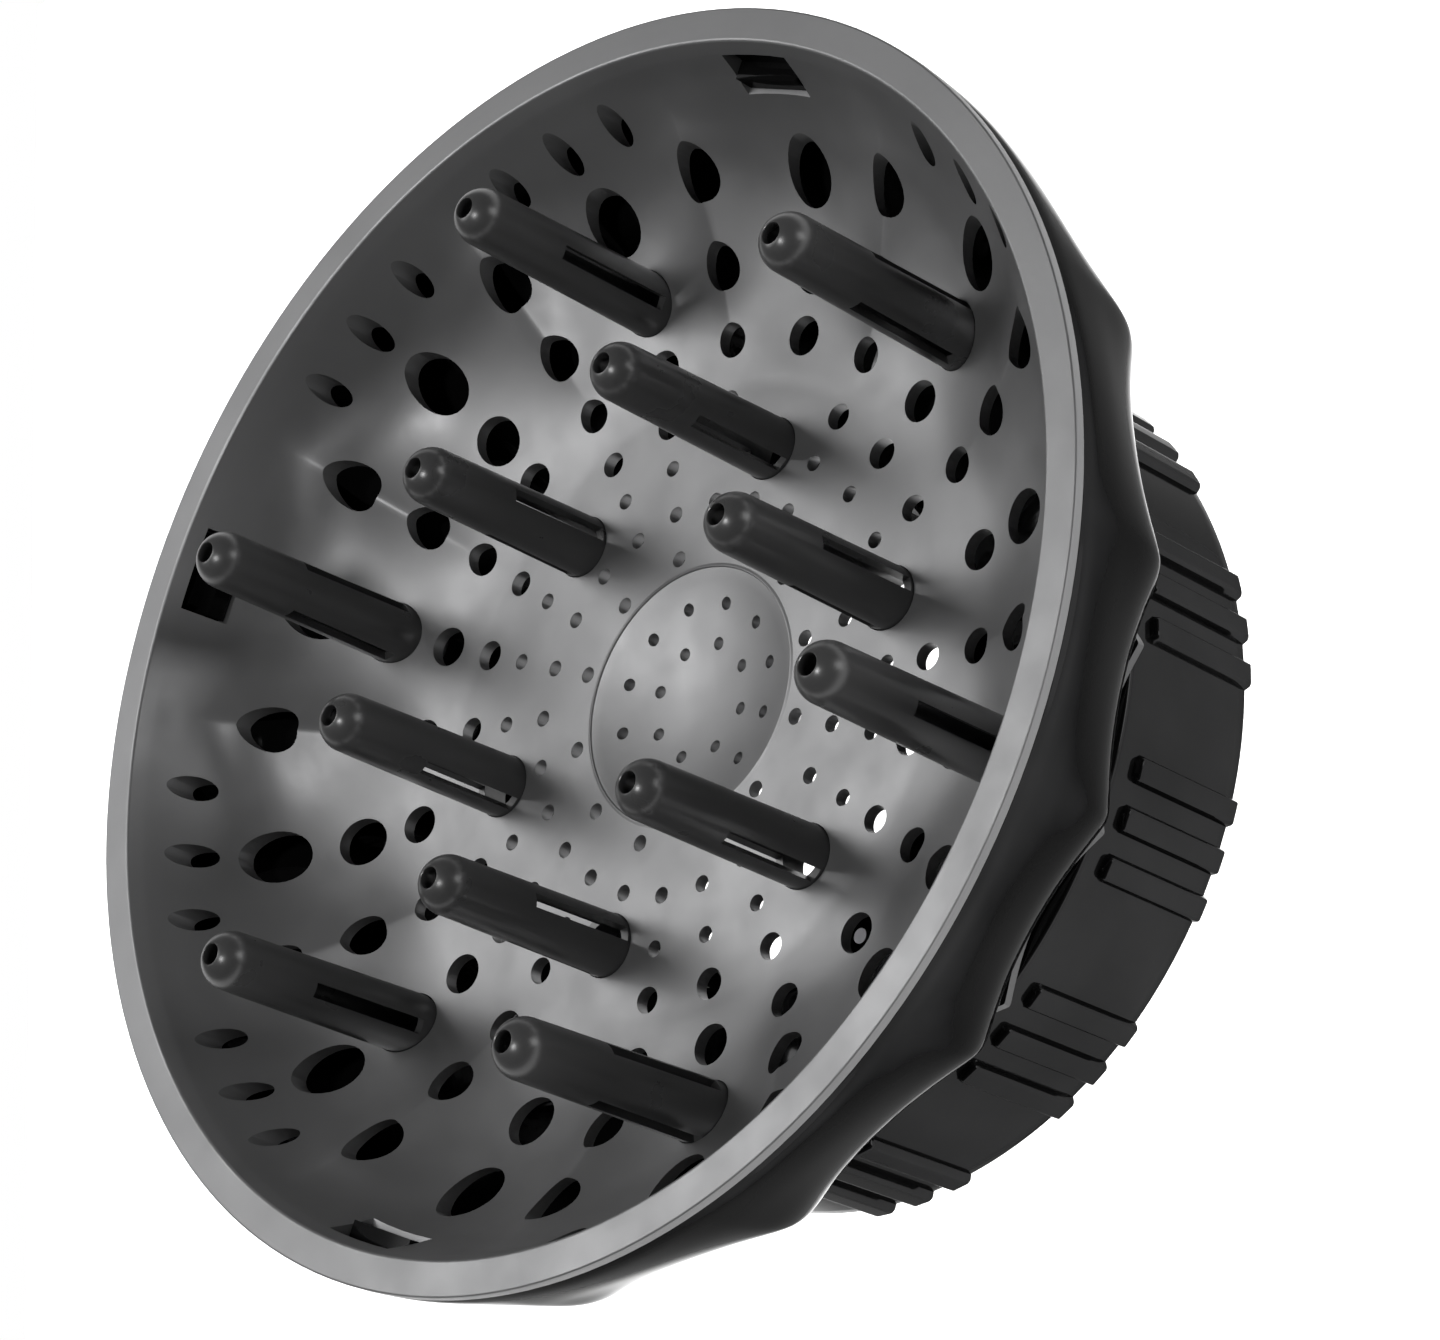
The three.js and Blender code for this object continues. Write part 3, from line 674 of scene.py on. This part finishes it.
def collar():
    columns = rib_columns()
    low = [(COLLAR_R - 0.45, 0), (COLLAR_R - 0.15, 0.12), (COLLAR_R, 0.45)]
    heights = (2, 6, 10, 14, 17.5, 18.4, 18.7, 18.9, 19.0, 19.1, 19.2, 19.3, 19.4, 19.55, 20.5, 22)
    side = [(COLLAR_R, z) for z in heights]
    high = arc((COLLAR_R - 0.5, COLLAR_TOP_Z - 0.5), 0.5, 0, 90, 4)
    inside = [(COLLAR_BORE_R + 0.2, COLLAR_TOP_Z), (COLLAR_BORE_R, COLLAR_TOP_Z - 0.2)]
    inside += [(COLLAR_BORE_R, SCROLL_Z[1]), (SCROLL_R, SCROLL_Z[1]), (SCROLL_R, SCROLL_Z[0]), (COLLAR_BORE_R, SCROLL_Z[0])]
    inside += [(COLLAR_BORE_R, 0.3), (COLLAR_BORE_R + 0.3, 0)]
    profile = low + side + high + inside
    ribbed = len(low + side)
    vertices = []
    for row, (r, z) in enumerate(profile):
        for angle in columns:
            lift = rib_height(angle, z) if row < ribbed else 0
            fade = (0.62, 0.86, 1)[row] if row < 3 else 1
            vertices.append(polar(r + lift * fade, angle, z))
    piece = make("collar_fine", vertices, ring_faces(len(profile), len(columns)))
    return finish_piece(piece, COLLAR, "collar", "collar_plastic", "twist_collar", angle=40)


# ---- jaw mechanism ----
def cover():
    low, high = COVER_Z
    profile = arc((THROAT_R + 0.9, low + 0.9), 0.9, 180, 270, 5)
    for groove_r in (37, 51.6):
        profile += [(groove_r, low), (groove_r + 0.3, low + 0.25)]
        profile += [(groove_r + 0.9, low + 0.25), (groove_r + 1.2, low)]
    profile += arc((COVER_R - 0.5, low + 0.5), 0.5, 270, 360, 4) + [(COVER_R, high), (THROAT_R, high)]
    piece = turned("cover_fine", profile, 180)
    places = [polar(PIVOT_R, 60 * i)[:2] for i in range(JAWS)]
    cut(piece, [drill(*place, SCREW["recess_r"], low - 1, low + SCREW["recess"], 36) for place in places])
    cut(piece, [drill(*place, SCREW["hole_r"], low, high + 1, 24) for place in places])
    return finish_piece(piece, COLLAR, "diffuser", "collar_plastic", "rear_cover")


def screw_body(head_z, head_down, length, radius):
    """A pan-head screw with a cross recess, head down."""
    bottom_z = head_z - head_down
    head_r, edge, shank_r = SCREW["head_r"], SCREW["edge"], SCREW["shank_r"]
    head = arc((head_r - edge, bottom_z + edge), edge, 270, 360, 4)
    shank = [(shank_r, head_z), (shank_r, head_z + length), (0.01, head_z + length)]
    piece = turned("screw", [(0.01, bottom_z)] + head + [(head_r, head_z)] + shank, 40)
    for a in (45, 135):
        low, high = bottom_z - 0.5, bottom_z + CROSS["depth"]
        cut(piece, [block(-CROSS["half"], CROSS["half"], CROSS["width"], low, high, a)])
    piece.data.transform(Matrix.Translation((radius * MM, 0, 0)))
    return piece


def screws():
    cover_screw = screw_body(COVER_Z[0] + 1.1, 0.9, 6, PIVOT_R)
    for i, piece in enumerate(copies(cover_screw, [f"cover_screw_fine_{i + 1}" for i in range(6)], 60)):
        finish_piece(piece, STEEL, "diffuser", "steel", f"cover_screw_{i + 1}")
    carrier_screw = screw_body(CARRIER_Z[0] + 2.2, 1.9, 10, CARRIER_SCREW_AT_R)
    names = [f"carrier_screw_fine_{i + 1}" for i in range(4)]
    for i, piece in enumerate(copies(carrier_screw, names, 90, 22.5)):
        finish_piece(piece, STEEL, "diffuser", "steel", f"carrier_screw_{i + 1}")


def drive_pin():
    x, y, _ = polar(DRIVE_ARM, DRIVE_FROM)
    return x + PIVOT_R, y


def jaw_outline():
    """The curved finger from the pad's joint round the pivot and the drive pin, and back along the throat."""
    outline = [polar(JAW_INNER_R, JAW_TIP_ANGLE)[:2]]
    steps = 16
    grow = JAW_OUTER_R[1] - JAW_OUTER_R[0]
    for i in range(steps + 1):
        outline.append(polar(JAW_OUTER_R[0] + grow * i / steps, JAW_TIP_ANGLE - JAW_SWEEP * i / steps)[:2])
    outline += arc((PIVOT_R, 0), PIVOT_BOSS_R, 35, -20, 10)
    outline += arc(drive_pin(), DRIVE_BOSS_R, -10, -190, 16)
    outline.append(polar(39.6, -2)[:2])
    outline += [polar(JAW_INNER_R, 6 + 32 * i / steps)[:2] for i in range(steps)]
    return outline


def jaws():
    low, high = JAW_Z
    body = bevel(prism("jaw", jaw_outline(), low, high), 0.35, 2, 50)
    cut(body, [drill(*drive_pin(), DRIVE_PIN_R, high - 2, SCROLL_Z[1] - 0.2, 24)], "UNION")
    cut(body, [drill(PIVOT_R, 0, PIVOT_BORE_R, low - 1, high + 1)])
    for i, piece in enumerate(copies(body, [f"jaw_fine_{i + 1}" for i in range(JAWS)], 60)):
        finish_piece(piece, NYLON, f"jaw_{i + 1}_body", "nylon", f"jaw_{i + 1}")


def pads():
    outline = arc(polar(*PAD_AT)[:2], PAD_R, PAD_AT[1] - 50, PAD_AT[1] + 230, 26)
    outline += [polar(*seat)[:2] for seat in PAD_SEAT]
    body = bevel(prism("pad", outline, JAW_Z[0] + 0.3, JAW_Z[1] - 0.3), 0.5, 3, 40)
    for i, piece in enumerate(copies(body, [f"jaw_pad_fine_{i + 1}" for i in range(JAWS)], 60)):
        finish_piece(piece, RUBBER, f"jaw_{i + 1}_body", "pad_rubber", f"jaw_pad_{i + 1}")


def carried_over():
    """CAD nodes whose shape is right keep it and get a finished material."""
    looks = {"jaw_carrier": NYLON}
    looks.update({f"pivot_pin_{i + 1}": STEEL for i in range(JAWS)})
    for node, material in looks.items():
        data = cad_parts[node].data
        data.materials.clear()
        data.materials.append(material)


# ---- stage ----
FLOOR_DROP = -1.0
FLOOR_HALF = 1.4
# Brightness of the surroundings: full below the horizon, fading to dim overhead.
HORIZON = {"From Min": -0.05, "From Max": 0.22, "To Min": 1.0, "To Max": 0.03}


def floor():
    mesh = bpy.data.meshes.new("floor")
    corners = [(-1, -1), (1, -1), (1, 1), (-1, 1)]
    mesh.from_pydata([(x * FLOOR_HALF, y * FLOOR_HALF, FLOOR_DROP) for x, y in corners], [], [(0, 1, 2, 3)])
    obj = bpy.data.objects.new("floor", mesh)
    bpy.context.scene.collection.objects.link(obj)
    paper = moulded("floor_paper", (0.86, 0.86, 0.86), 0.9, spread=0.01, mottle=0.5, specular=0.1)
    mesh.materials.append(paper)


# Soft lights: direction from the rim's middle, distance and size in metres, and power in watts.
SOFT_LIGHTS = {
    "key": ((-0.215, -0.106, 0.972), 0.9, 0.15, 1.75),
    "back_high": ((0.15, 0.6, 0.79), 0.9, 0.4, 1.1),
    "back": ((0.42, 0.57, 0.7), 0.9, 0.35, 0.9),
    "back_steep": ((0.2, 0.3, 0.93), 0.9, 0.3, 1.1),
    "side": ((0, -0.98, 0.2), 0.9, 0.4, 0.9),
}
# Washes over the floor: place in metres and power in watts.
FLOOR_LIGHTS = [
    ((0.79, 0.96, -0.45), 28),
    ((-0.85, 0.85, -0.4), 9),
    ((-0.85, -0.85, -0.4), 9),
    ((0.85, -0.85, -0.4), 9),
]
FLOOR_LIGHT_SIZE = 1.7


def soft_light(name, place, away, size, power):
    light = bpy.data.lights.new(name, "AREA")
    light.shape = "DISK"
    light.size = size
    light.energy = power
    obj = bpy.data.objects.new(name, light)
    bpy.context.scene.collection.objects.link(obj)
    obj.location = place
    obj.rotation_euler = away.to_track_quat("Z", "Y").to_euler()
    obj.visible_camera = False


def studio():
    middle = Vector((0, 0, RIM_Z * MM))
    for name, (direction, distance, size, power) in SOFT_LIGHTS.items():
        away = Vector(direction).normalized()
        soft_light(name, middle + away * distance, away, size, power)
    for place, power in FLOOR_LIGHTS:
        soft_light("floor_wash", Vector(place), Vector((0, 0, 1)), FLOOR_LIGHT_SIZE, power)
    world = bpy.data.worlds.new("studio")
    world.use_nodes = True
    nodes, links = world.node_tree.nodes, world.node_tree.links
    height = nodes.new("ShaderNodeSeparateXYZ")
    links.new(nodes.new("ShaderNodeTexCoord").outputs["Generated"], height.inputs["Vector"])
    fade = nodes.new("ShaderNodeMapRange")
    fade.interpolation_type = "SMOOTHSTEP"
    for socket, value in HORIZON.items():
        fade.inputs[socket].default_value = value
    links.new(height.outputs["Z"], fade.inputs["Value"])
    links.new(fade.outputs["Result"], nodes["Background"].inputs["Strength"])
    nodes["Background"].inputs["Color"].default_value = (1, 1, 1, 1)
    bpy.context.scene.world = world
    bpy.context.scene.view_settings.view_transform = "Standard"


CAMERA_AT = (-0.25976, -0.32634, 0.41215)
CAMERA_AIM = (-0.00958, -0.01892, 0.055)
CAMERA_ROLL = -65.65
CAMERA_LENS = 110.88


def camera():
    data = bpy.data.cameras.new("camera")
    data.lens = CAMERA_LENS
    data.sensor_width = 36
    data.sensor_fit = "HORIZONTAL"
    obj = bpy.data.objects.new("camera", data)
    bpy.context.scene.collection.objects.link(obj)
    aim = (Vector(CAMERA_AIM) - Vector(CAMERA_AT)).to_track_quat("-Z", "Y").to_matrix().to_4x4()
    roll = Matrix.Rotation(math.radians(CAMERA_ROLL), 4, "Z")
    obj.matrix_world = Matrix.Translation(CAMERA_AT) @ aim @ roll
    bpy.context.scene.camera = obj


camera()
studio()
floor()
bowl()
prongs()
housing()
collar()
cover()
screws()
jaws()
pads()
carried_over()
